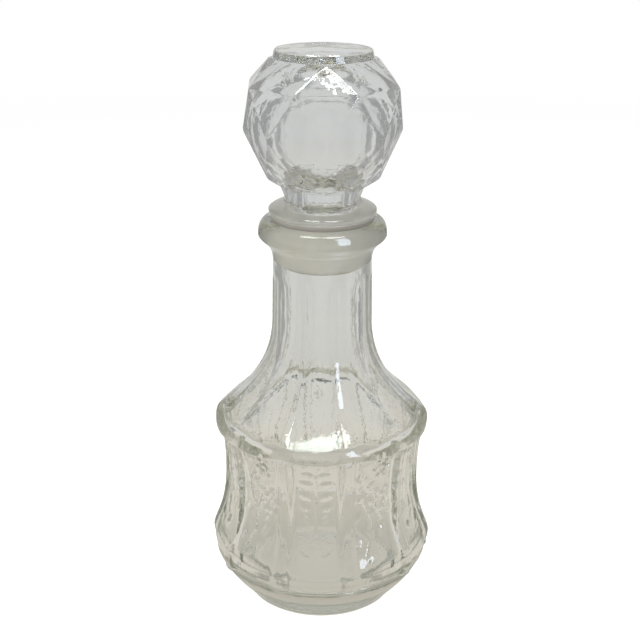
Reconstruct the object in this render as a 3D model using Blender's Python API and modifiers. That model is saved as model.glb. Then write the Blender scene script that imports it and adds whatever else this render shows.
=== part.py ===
# Pressed-glass decanter: a fluted bottle, a hollow faceted ball stopper and its plastic sleeve.
# Metres, +Z up. It stands at the origin, with the front of the photograph towards -Y.

import bpy
import bmesh
from math import cos, pi, radians, sin

# Bottle outline from the table up: the rise to each station, and its outer radius on the ribs
FOOT_RADIUS = 0.0295
FOOT_RING_WIDTH = 0.0045
PUSH_UP_HEIGHT = 0.0032
RIDGE_RISE = 0.0170
RIDGE_RADIUS = 0.0419
FLARE_RISE = 0.0056
FLARE_RADIUS = 0.0428
WAIST_RISE = 0.0264
WAIST_RADIUS = 0.0374
SHOULDER_RISE = 0.0238
SHOULDER_RADIUS = 0.0405
NECK_RISE = 0.0392
NECK_RADIUS = 0.0186
NECK_LENGTH = 0.0225
NECK_TOP_RADIUS = 0.0182
LIP_RISE = 0.0101
LIP_RADIUS = 0.0235
MOUTH_RISE = 0.0054
MOUTH_ROUND = 0.0035

RIDGE_HEIGHT = RIDGE_RISE
FLARE_HEIGHT = RIDGE_HEIGHT + FLARE_RISE
WAIST_HEIGHT = FLARE_HEIGHT + WAIST_RISE
SHOULDER_HEIGHT = WAIST_HEIGHT + SHOULDER_RISE
NECK_HEIGHT = SHOULDER_HEIGHT + NECK_RISE
NECK_TOP_HEIGHT = NECK_HEIGHT + NECK_LENGTH
LIP_HEIGHT = NECK_TOP_HEIGHT + LIP_RISE
MOUTH_HEIGHT = LIP_HEIGHT + MOUTH_RISE
MOUTH_FLAT_RADIUS = LIP_RADIUS - MOUTH_ROUND

# How far each swell's curve runs straight from its lower and its upper end, as shares of its rise
HEEL_SHARES = (0.10, 0.70)
FLARE_SHARES = (0.30, 0.55)
WAIST_SHARES = (0.13, 0.65)
SHOULDER_SHARES = (0.75, 0.23)
NECK_SHARES = (0.20, 0.66)
LIP_SHARES = (0.75, 0.22)
MOUTH_SHARES = (0.60, 0.70)
PUSH_UP_SHARE = 0.5

# Flutes on the neck and shoulder, and the recessed panels below the shoulder line
FLUTE_COUNT = 10
FRONT_PANEL_ANGLE = radians(-3)
NECK_FLUTE_DEPTH = 0.0008
SHOULDER_FLUTE_DEPTH = 0.0013
FLUTE_TOP_DROP = 0.0020
FLUTE_TOP_FADE = 0.0060
SHOULDER_LINE_DROP = 0.0026
SHOULDER_LINE_STEP = 0.0014
SHOULDER_LINE_SWAG = 0.0012
PANEL_DEPTH = 0.0019
CREST_PANEL_DEPTH = 0.0007
RIDGE_SCALLOP = 0.0011
HEEL_STEP = 0.0013

# Columns of one flute from its middle to the next middle, and its rib, as shares of its width
COLUMN_SHARES = (0.0, 0.20, 0.36, 0.45, 0.55, 0.64, 0.80)
RIB_EDGE_SHARE = 0.45
RIB_FOOT_SHARE = 0.34

# Hollow of the bottle, by the wall left outside it
NECK_WALL = 0.0032
MOUTH_BEVEL = 0.0008
SHOULDER_WALL = 0.0075
WAIST_WALL = 0.0047
FLARE_WALL = 0.0048
RIDGE_WALL = 0.0054
FLOOR_THICKNESS = 0.0053
FLOOR_INSET = 0.0085
BORE_END_DROP = 0.0020
BELLY_DROP = 0.0018
INNER_WAIST_LIFT = 0.0030
INNER_FLARE_LIFT = 0.0014
INNER_NECK_SHARES = (0.42, 0.75)
FLOOR_CORNER_SHARES = (0.51, 0.16, 0.59)
INNER_FLARE_SHARES = (0.66, 0.30, 0.36)
BORE_RADIUS = NECK_TOP_RADIUS - NECK_WALL

# Clearances
SEAT_GAP = 0.0003
PLUG_CLEARANCE = 0.0003
SHANK_CLEARANCE = 0.0003
CUT_OVERRUN = 0.0020

# Glass stopper: its disc, throat and shank
DISC_RADIUS = 0.0196
DISC_THICKNESS = 0.0040
DISC_FOOT_INSET = 0.0013
DISC_RIM_FLAT = 0.0003
DISC_EDGE_SHARES = (0.15, 0.30)
DISC_WIDEST_SHARE = 0.4
THROAT_RADIUS = 0.0135
THROAT_LENGTH = 0.0028
THROAT_FLARE_RISE = 0.0032
THROAT_TOP_INSET = 0.0004
COLLAR_STEP = 0.0007
COLLAR_THICKNESS = 0.0011
SHANK_WALL = 0.0037
SHANK_END_SPACE = 0.0031
SHANK_END_ROUND = 0.0010

# Faceted ball: the rise to each ring from the one below, and the radius of the ring's corners
FACET_COUNT = 8
BALL_TURN = radians(2.5)
BALL_FOOT_RADIUS = 0.0146
LOWER_RING_RISE = 0.0040
LOWER_RING_RADIUS = 0.0213
WIDE_RING_RISE = 0.0158
WIDE_RING_RADIUS = 0.0283
UPPER_RING_RISE = 0.0163
UPPER_RING_RADIUS = 0.0278
CROWN_RING_RISE = 0.0079
CROWN_RING_RADIUS = 0.0186
CAP_RISE = 0.0038
CAP_RADIUS = 0.0171
CAP_FOOT_STEP = 0.0007
BALL_WALL = 0.0107
CAP_THICKNESS = 0.0106
HOLLOW_TOP_SHARES = (0.6, 0.6)
HOLLOW_NECK_SHARES = (0.6, 0.3)

THROAT_HEIGHT = DISC_THICKNESS + THROAT_LENGTH
BALL_FOOT_HEIGHT = THROAT_HEIGHT + THROAT_FLARE_RISE
LOWER_RING_HEIGHT = BALL_FOOT_HEIGHT + LOWER_RING_RISE
WIDE_RING_HEIGHT = LOWER_RING_HEIGHT + WIDE_RING_RISE
UPPER_RING_HEIGHT = WIDE_RING_HEIGHT + UPPER_RING_RISE
CROWN_RING_HEIGHT = UPPER_RING_HEIGHT + CROWN_RING_RISE
CAP_HEIGHT = CROWN_RING_HEIGHT + CAP_RISE

# Plastic sleeve: the flange lies on the mouth and the plug fills the bore
FLANGE_INSET = 0.0008
FLANGE_THICKNESS = 0.0016
FLANGE_ROUND = 0.0005
PLUG_LENGTH = 0.0176
PLUG_SLACK = 0.0007
PLUG_TAPER = 0.0004
PLUG_END_ROUND = 0.0022
SLEEVE_WALL = 0.0016
SLEEVE_FLOOR = 0.0012
SEAL_COUNT = 3
SEAL_FIRST_DROP = 0.0032
SEAL_LAST_RISE = 0.0076
SEAL_HALF_WIDTH = 0.0007

FLANGE_RADIUS = DISC_RADIUS - FLANGE_INSET
PLUG_RADIUS = BORE_RADIUS - PLUG_CLEARANCE - PLUG_SLACK
CUP_RADIUS = PLUG_RADIUS - SLEEVE_WALL
SHANK_RADIUS = CUP_RADIUS - PLUG_TAPER - SHANK_CLEARANCE
SHANK_LENGTH = PLUG_LENGTH + FLANGE_THICKNESS + SEAT_GAP - SLEEVE_FLOOR - SHANK_END_SPACE

# Fineness of the meshes: points along each curve, and steps round each turned shape
PUSH_UP_ROWS = 4
HEEL_ROWS = 6
FLARE_ROWS = 3
WAIST_ROWS = 7
SHOULDER_ROWS = 8
NECK_ROWS = 12
LIP_ROWS = 7
MOUTH_ROWS = 4
FLOOR_ROWS = 4
INNER_FLARE_ROWS = 3
INNER_WAIST_ROWS = 4
BELLY_ROWS = 3
BORE_ROWS = 8
PLUG_END_ROWS = 3
DISC_EDGE_ROWS = 5
DISC_FOOT_ROWS = 3
BALL_HOLLOW_ROWS = 5
BOTTLE_HOLLOW_STEPS = 36
SLEEVE_STEPS = 36
DISC_STEPS = 48
STOPPER_HOLLOW_STEPS = 32
MERGE_DISTANCE = 0.00001
SMOOTH_ANGLE = radians(30)


def collection(name):
    made = bpy.data.collections.new(name)
    bpy.context.scene.collection.children.link(made)
    return made


def clear_scene():
    for item in list(bpy.data.objects):
        bpy.data.objects.remove(item, do_unlink=True)
    for item in list(bpy.data.collections):
        bpy.data.collections.remove(item)


def material(name, colour, roughness, transmission):
    made = bpy.data.materials.new(name)
    made.use_nodes = True
    shader = made.node_tree.nodes["Principled BSDF"]
    shader.inputs["Base Color"].default_value = (*colour, 1.0)
    shader.inputs["Roughness"].default_value = roughness
    shader.inputs["Metallic"].default_value = 0.0
    shader.inputs["Transmission Weight"].default_value = transmission
    made.diffuse_color = (*colour, 1.0)
    return made


def new_object(name, mesh, home, finish=None):
    made = bpy.data.objects.new(name, mesh)
    home.objects.link(made)
    if finish:
        mesh.materials.append(finish)
    return made


def smooth(mesh, angle):
    mesh.shade_smooth()
    mesh.set_sharp_from_angle(angle=angle)


def hide_cutter(cutter, parent):
    cutter.hide_render = True
    cutter.display_type = "WIRE"
    cutter.parent = parent


def blend(low, high, value):
    share = min(max((value - low) / (high - low), 0.0), 1.0)
    return share * share * (3 - 2 * share)


def curve(start, start_handle, end_handle, end, count):
    """Points of a cubic curve, without its first one."""
    points = []
    for step in range(1, count + 1):
        t = step / count
        s = 1 - t
        weights = (s ** 3, 3 * s * s * t, 3 * s * t * t, t ** 3)
        corners = (start, start_handle, end_handle, end)
        points.append(tuple(sum(w * c[axis] for w, c in zip(weights, corners)) for axis in (0, 1)))
    return points


def swell(start, end, shares, count):
    """A curve between two (radius, height) places that runs straight up at both."""
    rise = end[1] - start[1]
    return curve(start, (start[0], start[1] + shares[0] * rise),
                 (end[0], end[1] - shares[1] * rise), end, count)


def turned(name, profile, steps, home):
    """A closed profile of (radius, height) points, top to bottom, turned about Z."""
    mesh = bpy.data.meshes.new(name)
    points = [(radius, 0.0, height) for radius, height in profile]
    edges = [(place, place + 1) for place in range(len(points) - 1)]
    mesh.from_pydata(points, edges, [])
    made = new_object(name, mesh, home)
    screw = made.modifiers.new("turn", "SCREW")
    screw.axis = "Z"
    screw.steps = steps
    screw.render_steps = steps
    screw.use_merge_vertices = True
    screw.merge_threshold = MERGE_DISTANCE
    screw.use_smooth_shade = True
    return made


def combine(target, name, operation, other):
    step = target.modifiers.new(name, "BOOLEAN")
    step.operation = operation
    step.solver = "EXACT"
    step.object = other


# The bottle's outer skin is a loft of rings, from the push-up under the foot to the mouth

def outline():
    """Rings of the skin above the ridge, as (radius on the ribs, height)."""
    ridge = (RIDGE_RADIUS, RIDGE_HEIGHT)
    flare = (FLARE_RADIUS, FLARE_HEIGHT)
    waist = (WAIST_RADIUS, WAIST_HEIGHT)
    shoulder = (SHOULDER_RADIUS, SHOULDER_HEIGHT)
    neck = (NECK_RADIUS, NECK_HEIGHT)
    neck_top = (NECK_TOP_RADIUS, NECK_TOP_HEIGHT)
    lip = (LIP_RADIUS, LIP_HEIGHT)
    mouth = (MOUTH_FLAT_RADIUS, MOUTH_HEIGHT)
    points = [ridge]
    points += curve(ridge, ((RIDGE_RADIUS + FLARE_RADIUS) / 2, RIDGE_HEIGHT + FLARE_SHARES[0] * FLARE_RISE),
                    (FLARE_RADIUS, FLARE_HEIGHT - FLARE_SHARES[1] * FLARE_RISE), flare, FLARE_ROWS)
    points += swell(flare, waist, WAIST_SHARES, WAIST_ROWS)
    points += swell(waist, shoulder, SHOULDER_SHARES, SHOULDER_ROWS)
    points += swell(shoulder, neck, NECK_SHARES, NECK_ROWS)
    points += [neck_top]
    points += swell(neck_top, lip, LIP_SHARES, LIP_ROWS)
    points += curve(lip, (LIP_RADIUS, LIP_HEIGHT + MOUTH_SHARES[0] * MOUTH_RISE),
                    (MOUTH_FLAT_RADIUS + MOUTH_SHARES[1] * MOUTH_ROUND, MOUTH_HEIGHT), mouth, MOUTH_ROWS)
    return points


def flute_depth(height):
    grown = NECK_FLUTE_DEPTH + (SHOULDER_FLUTE_DEPTH - NECK_FLUTE_DEPTH) * blend(
        NECK_HEIGHT, SHOULDER_HEIGHT, height)
    top = NECK_TOP_HEIGHT - FLUTE_TOP_DROP
    return grown * (1 - blend(top - FLUTE_TOP_FADE, top, height))


def panel_depth(height):
    return CREST_PANEL_DEPTH + (PANEL_DEPTH - CREST_PANEL_DEPTH) * blend(
        FLARE_HEIGHT, WAIST_HEIGHT, height)


def cross_section(share, height):
    """How far the skin lies under the ribs at a share of the flute's width from its middle."""
    across = abs(share)
    line = SHOULDER_HEIGHT - SHOULDER_LINE_DROP + SHOULDER_LINE_SWAG * (2 * across) ** 2
    fluted = flute_depth(height) * (1 - (2 * across) ** 2)
    panelled = panel_depth(height) * (1 - blend(RIB_FOOT_SHARE, RIB_EDGE_SHARE, across))
    above = blend(line - SHOULDER_LINE_STEP, line, height)
    return above * fluted + (1 - above) * panelled


def round_ring(radius, height):
    """Corners of a plain ring, in the same columns as the fluted ones."""
    corners = []
    for flute in range(FLUTE_COUNT):
        for share in COLUMN_SHARES:
            angle = FRONT_PANEL_ANGLE + 2 * pi * (flute + share) / FLUTE_COUNT
            corners.append((radius * sin(angle), -radius * cos(angle), height))
    return corners


def fluted_ring(outer, height):
    """Corners of one ring of the fluted and panelled skin. Near the ridge it dips under the ribs."""
    scallop = RIDGE_SCALLOP * (1 - blend(RIDGE_HEIGHT, FLARE_HEIGHT, height))
    corners = []
    for flute in range(FLUTE_COUNT):
        for share in COLUMN_SHARES:
            near = min(share, 1 - share)
            angle = FRONT_PANEL_ANGLE + 2 * pi * (flute + share) / FLUTE_COUNT
            radius = outer - cross_section(near, height)
            corners.append((radius * sin(angle), -radius * cos(angle), height - scallop * (2 * near) ** 2))
    return corners


def bottle_rings():
    foot = (FOOT_RADIUS, 0.0)
    foot_inside = (FOOT_RADIUS - FOOT_RING_WIDTH, 0.0)
    heel_top = (RIDGE_RADIUS - CREST_PANEL_DEPTH - HEEL_STEP, RIDGE_HEIGHT - HEEL_STEP)
    under = curve((0.0, PUSH_UP_HEIGHT), (PUSH_UP_SHARE * foot_inside[0], PUSH_UP_HEIGHT),
                  (foot_inside[0], PUSH_UP_HEIGHT), foot_inside, PUSH_UP_ROWS)
    heel = curve(foot, (FOOT_RADIUS, HEEL_SHARES[0] * heel_top[1]),
                 (heel_top[0], HEEL_SHARES[1] * heel_top[1]), heel_top, HEEL_ROWS)
    rings = [round_ring(*place) for place in (*under, foot, *heel)]
    skin = outline()
    rings += [fluted_ring(*place) for place in skin[:-1]]
    rings.append(round_ring(*skin[-1]))
    return rings


def loft(name, rings, home, finish, bottom, top):
    """Joins rings of equal counts, and closes both ends at points on the axis."""
    mesh = bmesh.new()
    rows = [[mesh.verts.new(corner) for corner in corners] for corners in rings]
    count = len(rows[0])
    for low, high in zip(rows, rows[1:]):
        for place in range(count):
            after = (place + 1) % count
            mesh.faces.new((low[place], low[after], high[after], high[place]))
    for centre, row, turned_over in ((bottom, rows[0], True), (top, rows[-1], False)):
        middle = mesh.verts.new((0.0, 0.0, centre))
        for place in range(count):
            pair = (row[place], row[(place + 1) % count])
            mesh.faces.new((middle, *reversed(pair)) if turned_over else (middle, *pair))
    bmesh.ops.recalc_face_normals(mesh, faces=mesh.faces)
    data = bpy.data.meshes.new(name)
    mesh.to_mesh(data)
    mesh.free()
    return new_object(name, data, home, finish)


def bottle_hollow(cutters):
    mouth = (BORE_RADIUS + MOUTH_BEVEL, MOUTH_HEIGHT)
    bore_top = (BORE_RADIUS, MOUTH_HEIGHT - MOUTH_BEVEL)
    bore_end = (BORE_RADIUS, NECK_HEIGHT - BORE_END_DROP)
    belly = (SHOULDER_RADIUS - SHOULDER_WALL, SHOULDER_HEIGHT - BELLY_DROP)
    waist = (WAIST_RADIUS - WAIST_WALL, WAIST_HEIGHT + INNER_WAIST_LIFT)
    flare = (FLARE_RADIUS - FLARE_WALL, FLARE_HEIGHT + INNER_FLARE_LIFT)
    ridge = (RIDGE_RADIUS - RIDGE_WALL, RIDGE_HEIGHT)
    floor = (FOOT_RADIUS - FLOOR_INSET, PUSH_UP_HEIGHT + FLOOR_THICKNESS)
    out, up, bend = ridge[0] - floor[0], ridge[1] - floor[1], FLOOR_CORNER_SHARES
    upward = [(0.0, floor[1]), floor]
    upward += curve(floor, (floor[0] + bend[0] * out, floor[1]),
                    (ridge[0] - bend[1] * out, ridge[1] - bend[2] * up), ridge, FLOOR_ROWS)
    out, up, bend = flare[0] - ridge[0], flare[1] - ridge[1], INNER_FLARE_SHARES
    upward += curve(ridge, (ridge[0] + bend[0] * out, ridge[1] + bend[1] * up),
                    (flare[0], flare[1] - bend[2] * up), flare, INNER_FLARE_ROWS)
    upward += swell(flare, waist, WAIST_SHARES, INNER_WAIST_ROWS)
    upward += swell(waist, belly, SHOULDER_SHARES, BELLY_ROWS)
    upward += swell(belly, bore_end, INNER_NECK_SHARES, BORE_ROWS)
    upward += [bore_top, mouth, (mouth[0], MOUTH_HEIGHT + CUT_OVERRUN), (0.0, MOUTH_HEIGHT + CUT_OVERRUN)]
    return turned("bottle_hollow", upward[::-1], BOTTLE_HOLLOW_STEPS, cutters)


def make_bottle(parts, cutters, glass):
    bottle = loft("bottle", bottle_rings(), parts, glass, PUSH_UP_HEIGHT, MOUTH_HEIGHT)
    smooth(bottle.data, SMOOTH_ANGLE)
    hollow = bottle_hollow(cutters)
    hide_cutter(hollow, bottle)
    combine(bottle, hollow.name, "DIFFERENCE", hollow)
    return bottle


# The sleeve is one turned profile, from heights measured above the underside of its flange

def plug_side(drop):
    return PLUG_RADIUS - PLUG_TAPER * drop / PLUG_LENGTH


def plug_outline():
    """Down the outside of the plug, over its sealing rings, and round its lower edge."""
    pitch = (PLUG_LENGTH - SEAL_FIRST_DROP - SEAL_LAST_RISE) / (SEAL_COUNT - 1)
    points = [(plug_side(0.0), 0.0)]
    for place in range(SEAL_COUNT):
        drop = SEAL_FIRST_DROP + place * pitch
        points.append((plug_side(drop - SEAL_HALF_WIDTH), SEAL_HALF_WIDTH - drop))
        points.append((BORE_RADIUS - PLUG_CLEARANCE, -drop))
        points.append((plug_side(drop + SEAL_HALF_WIDTH), -drop - SEAL_HALF_WIDTH))
    side = plug_side(PLUG_LENGTH - PLUG_END_ROUND)
    end = (side, PLUG_END_ROUND - PLUG_LENGTH)
    points.append(end)
    points += curve(end, (side, end[1] - PLUG_END_ROUND / 2), (side - PLUG_END_ROUND / 2, -PLUG_LENGTH),
                    (side - PLUG_END_ROUND, -PLUG_LENGTH), PLUG_END_ROWS)
    return points


def make_sleeve(parts, plastic):
    cup_floor = SLEEVE_FLOOR - PLUG_LENGTH
    flange_face = FLANGE_RADIUS - FLANGE_ROUND
    profile = [(0.0, cup_floor), (CUP_RADIUS - PLUG_TAPER, cup_floor), (CUP_RADIUS, FLANGE_THICKNESS),
               (flange_face, FLANGE_THICKNESS), (FLANGE_RADIUS, FLANGE_THICKNESS - FLANGE_ROUND),
               (FLANGE_RADIUS, FLANGE_ROUND), (flange_face, 0.0)]
    profile += plug_outline() + [(0.0, -PLUG_LENGTH)]
    sleeve = turned("stopper_sleeve", profile, SLEEVE_STEPS, parts)
    sleeve.data.materials.append(plastic)
    sleeve.location.z = MOUTH_HEIGHT + SEAT_GAP
    return sleeve


# The stopper is a turned disc and shank with the faceted throat, ball and cap joined on, then hollowed

def facet_ring(radius, height, staggered):
    turn = BALL_TURN + (pi / FACET_COUNT if staggered else 0.0)
    angles = [turn + 2 * pi * place / FACET_COUNT for place in range(FACET_COUNT)]
    return [(radius * sin(angle), -radius * cos(angle), height) for angle in angles]


def faceted(name, corners, cutters):
    """The flat facets that wrap a set of corners."""
    mesh = bmesh.new()
    for corner in corners:
        mesh.verts.new(corner)
    bmesh.ops.convex_hull(mesh, input=mesh.verts)
    bmesh.ops.recalc_face_normals(mesh, faces=mesh.faces)
    data = bpy.data.meshes.new(name)
    mesh.to_mesh(data)
    mesh.free()
    return new_object(name, data, cutters)


def stopper_ball(cutters):
    corners = facet_ring(BALL_FOOT_RADIUS, BALL_FOOT_HEIGHT, False)
    corners += facet_ring(LOWER_RING_RADIUS, LOWER_RING_HEIGHT, True)
    corners += facet_ring(WIDE_RING_RADIUS, WIDE_RING_HEIGHT, False)
    corners += facet_ring(UPPER_RING_RADIUS, UPPER_RING_HEIGHT, True)
    corners += facet_ring(CROWN_RING_RADIUS, CROWN_RING_HEIGHT, False)
    return faceted("stopper_ball", corners, cutters)


def stopper_throat(cutters):
    top_radius = BALL_FOOT_RADIUS - THROAT_TOP_INSET
    levels = ((THROAT_RADIUS, DISC_THICKNESS), (THROAT_RADIUS, THROAT_HEIGHT),
              (top_radius, BALL_FOOT_HEIGHT), (top_radius, LOWER_RING_HEIGHT))
    rings = [facet_ring(radius, height, False) for radius, height in levels]
    return loft("stopper_throat", rings, cutters, None, DISC_THICKNESS, LOWER_RING_HEIGHT)


def stopper_cap(cutters):
    profile = [(0.0, CAP_HEIGHT), (CAP_RADIUS, CAP_HEIGHT), (CAP_RADIUS + CAP_FOOT_STEP, CROWN_RING_HEIGHT),
               (CAP_RADIUS, WIDE_RING_HEIGHT), (0.0, WIDE_RING_HEIGHT)]
    return turned("stopper_cap", profile, DISC_STEPS, cutters)


def stopper_hollow(cutters):
    bore = SHANK_RADIUS - SHANK_WALL
    top = (0.0, CAP_HEIGHT - CAP_THICKNESS)
    side = (WIDE_RING_RADIUS - BALL_WALL, WIDE_RING_HEIGHT)
    neck = (bore, BALL_FOOT_HEIGHT)
    above = top[1] - side[1]
    below = side[1] - neck[1]
    profile = [top]
    profile += curve(top, (HOLLOW_TOP_SHARES[0] * side[0], top[1]),
                     (side[0], side[1] + HOLLOW_TOP_SHARES[1] * above), side, BALL_HOLLOW_ROWS)
    profile += curve(side, (side[0], side[1] - HOLLOW_NECK_SHARES[0] * below),
                     (neck[0], neck[1] + HOLLOW_NECK_SHARES[1] * below), neck, BALL_HOLLOW_ROWS)
    profile += [(bore, -SHANK_LENGTH - CUT_OVERRUN), (0.0, -SHANK_LENGTH - CUT_OVERRUN)]
    return turned("stopper_hollow", profile, STOPPER_HOLLOW_STEPS, cutters)


def disc_profile():
    """Collar, disc and shank, from the axis inside the throat down to the shank's end."""
    collar = THROAT_RADIUS + COLLAR_STEP
    rim = (collar + DISC_RIM_FLAT, DISC_THICKNESS)
    widest = (DISC_RADIUS, DISC_WIDEST_SHARE * DISC_THICKNESS)
    foot = (DISC_RADIUS - DISC_FOOT_INSET, 0.0)
    profile = [(0.0, DISC_THICKNESS + COLLAR_THICKNESS), (collar, DISC_THICKNESS + COLLAR_THICKNESS),
               (collar, DISC_THICKNESS), rim]
    width = widest[0] - rim[0]
    drop = rim[1] - widest[1]
    profile += curve(rim, (rim[0] + DISC_EDGE_SHARES[0] * width, rim[1]),
                     (widest[0], widest[1] + DISC_EDGE_SHARES[1] * drop), widest, DISC_EDGE_ROWS)
    profile += curve(widest, (DISC_RADIUS, 0.0), (DISC_RADIUS, 0.0), foot, DISC_FOOT_ROWS)
    profile += [(SHANK_RADIUS, 0.0), (SHANK_RADIUS, SHANK_END_ROUND - SHANK_LENGTH),
                (SHANK_RADIUS - SHANK_END_ROUND, -SHANK_LENGTH), (0.0, -SHANK_LENGTH)]
    return profile


def make_head(parts, cutters, glass):
    head = turned("stopper_head", disc_profile(), DISC_STEPS, parts)
    head.data.materials.append(glass)
    head.location.z = MOUTH_HEIGHT + SEAT_GAP + FLANGE_THICKNESS + SEAT_GAP
    for piece in (stopper_throat(cutters), stopper_ball(cutters), stopper_cap(cutters)):
        hide_cutter(piece, head)
        combine(head, piece.name, "UNION", piece)
    hollow = stopper_hollow(cutters)
    hide_cutter(hollow, head)
    combine(head, hollow.name, "DIFFERENCE", hollow)
    return head


def main():
    clear_scene()
    parts = collection("decanter")
    cutters = collection("cutters")
    clear_glass = material("clear_glass", (0.93, 0.95, 0.93), 0.02, 1.0)
    stopper_glass = material("stopper_glass", (0.92, 0.94, 0.93), 0.02, 1.0)
    milky_plastic = material("milky_plastic", (0.80, 0.78, 0.74), 0.35, 0.3)
    bottle = make_bottle(parts, cutters, clear_glass)
    sleeve = make_sleeve(parts, milky_plastic)
    head = make_head(parts, cutters, stopper_glass)
    stand = bpy.data.objects.new("stand", None)
    parts.objects.link(stand)
    for piece in (bottle, sleeve, head):
        piece.parent = stand


main()
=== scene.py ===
from math import atan2, cos, pi, radians, sin

import bmesh
import bpy
from mathutils import Matrix, Vector


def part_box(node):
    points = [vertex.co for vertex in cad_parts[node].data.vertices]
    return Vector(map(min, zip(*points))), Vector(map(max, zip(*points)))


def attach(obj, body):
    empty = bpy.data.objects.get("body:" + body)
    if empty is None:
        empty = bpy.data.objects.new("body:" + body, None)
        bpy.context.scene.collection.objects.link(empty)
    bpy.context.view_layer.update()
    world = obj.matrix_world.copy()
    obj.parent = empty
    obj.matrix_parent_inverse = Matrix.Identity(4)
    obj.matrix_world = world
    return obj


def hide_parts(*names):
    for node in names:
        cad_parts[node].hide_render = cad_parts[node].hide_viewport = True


# Pressed-glass decanter with a hollow faceted ball stopper, in metres.
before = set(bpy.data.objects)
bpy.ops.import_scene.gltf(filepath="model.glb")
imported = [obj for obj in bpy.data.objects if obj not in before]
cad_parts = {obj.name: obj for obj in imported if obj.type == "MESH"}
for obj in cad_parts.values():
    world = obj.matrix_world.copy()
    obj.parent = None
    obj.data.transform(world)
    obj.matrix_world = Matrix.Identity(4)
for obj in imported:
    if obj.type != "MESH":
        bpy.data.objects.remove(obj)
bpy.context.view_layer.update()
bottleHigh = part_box("bottle")[1]
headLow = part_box("stopper_head")[0]
sleeveLow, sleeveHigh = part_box("stopper_sleeve")
print("frame loaded:", ", ".join(sorted(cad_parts)))

# gaps below which two rings, or two points, count as one
sameRing, samePoint = 1e-5, 1e-6


# small helpers for node trees

def addNode(tree, kind, inputs=None, **settings):
    node = tree.nodes.new(kind)
    for name, value in settings.items():
        setattr(node, name, value)
    for place, value in (inputs or {}).items():
        if isinstance(value, bpy.types.NodeSocket):
            tree.links.new(value, node.inputs[place])
        else:
            node.inputs[place].default_value = value
    return node


def calc(tree, operation, *values):
    return addNode(tree, "ShaderNodeMath", dict(enumerate(values)), operation=operation).outputs[0]


def times(tree, first, second):
    return calc(tree, "MULTIPLY", first, second)


def split(tree, vector):
    return addNode(tree, "ShaderNodeSeparateXYZ", {0: vector}).outputs


def ease(tree, value, fromLow, fromHigh, toLow=0.0, toHigh=1.0):
    # smooth step between two values
    ends = {"Value": value, "From Min": fromLow, "From Max": fromHigh, "To Min": toLow, "To Max": toHigh}
    return addNode(tree, "ShaderNodeMapRange", ends, interpolation_type="SMOOTHSTEP").outputs["Result"]


def noise(tree, vector, scale, detail):
    given = {"Vector": vector, "Scale": scale, "Detail": detail}
    return addNode(tree, "ShaderNodeTexNoise", given).outputs[0]


def blend(tree, factor, first, second):
    # a mix of two colours, which are the node's inputs 6 and 7
    given = {"Factor": factor, 6: first, 7: second}
    return addNode(tree, "ShaderNodeMix", given, data_type="RGBA").outputs[2]


def mixShaders(tree, factor, first, second):
    return addNode(tree, "ShaderNodeMixShader", {0: factor, 1: first, 2: second}).outputs[0]


def axisDistance(tree, spot):
    squares = [calc(tree, "POWER", spot[axis], 2.0) for axis in ("X", "Y")]
    return calc(tree, "SQRT", calc(tree, "ADD", *squares))


def openTree(name, kind, sockets):
    # a node group with named inputs, and outputs marked by a leading ">"
    tree = bpy.data.node_groups.new(name, kind)
    for label, socketType in sockets.items():
        way = "OUTPUT" if label.startswith(">") else "INPUT"
        tree.interface.new_socket(label.lstrip(">"), in_out=way, socket_type="NodeSocket" + socketType)
    return tree, tree.nodes.new("NodeGroupInput").outputs, tree.nodes.new("NodeGroupOutput").inputs


def newMaterial(name):
    material = bpy.data.materials.new(name)
    material.use_nodes = True
    return material, material.node_tree


# small helpers for meshes

def newPiece(name, mesh):
    piece = bpy.data.objects.new(name, mesh)
    bpy.context.scene.collection.objects.link(piece)
    return piece


def plainMesh(name, mesh):
    # mesh data from a finished bmesh
    data = bpy.data.meshes.new(name)
    mesh.to_mesh(data)
    mesh.free()
    return data


def settle(piece):
    # the modifiers' result becomes the piece's plain mesh
    bpy.context.view_layer.update()
    evaluated = piece.evaluated_get(bpy.context.evaluated_depsgraph_get())
    mesh = bpy.data.meshes.new_from_object(evaluated)
    piece.modifiers.clear()
    old = piece.data
    piece.data = mesh
    mesh.name = piece.name
    bpy.data.meshes.remove(old)
    return piece


def grow(tree, name, values):
    # runs a geometry tree on an empty mesh and keeps what it makes
    piece = newPiece(name, bpy.data.meshes.new(name))
    step = piece.modifiers.new("shape", "NODES")
    step.node_group = tree
    for item in tree.interface.items_tree:
        if item.in_out == "INPUT" and item.name in values:
            step[item.identifier] = values[item.name]
    return settle(piece)


def curvePoints(start, startHandle, endHandle, end, count):
    # points along a cubic curve, without its start
    points = []
    for step in range(1, count + 1):
        t = step / count
        weights = ((1 - t) ** 3, 3 * (1 - t) ** 2 * t, 3 * (1 - t) * t ** 2, t ** 3)
        pulls = list(zip(weights, (start, startHandle, endHandle, end)))
        points.append(tuple(sum(weight * corner[axis] for weight, corner in pulls) for axis in (0, 1)))
    return points


def swell(start, end, shares, count):
    # a curve between two (radius, height) places that runs straight up at both
    rise = end[1] - start[1]
    leaving = (start[0], start[1] + shares[0] * rise)
    arriving = (end[0], end[1] - shares[1] * rise)
    return curvePoints(start, leaving, arriving, end, count)


def partWay(start, end, share):
    return tuple(low + share * (high - low) for low, high in zip(start, end))


def profileMesh(name, points):
    mesh = bpy.data.meshes.new(name)
    mesh.from_pydata([(radius, 0.0, height) for radius, height in points],
                     [(place, place + 1) for place in range(len(points) - 1)], [])
    return mesh


def turnedPiece(name, points, steps):
    # a profile of (radius, height) points, which starts and ends on the axis, turned about it
    piece = newPiece(name, profileMesh(name, points))
    turn = piece.modifiers.new("turn", "SCREW")
    turn.steps = turn.render_steps = steps
    turn.use_merge_vertices = True
    turn.merge_threshold = sameRing
    turn.use_smooth_shade = True
    return settle(piece)


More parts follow.
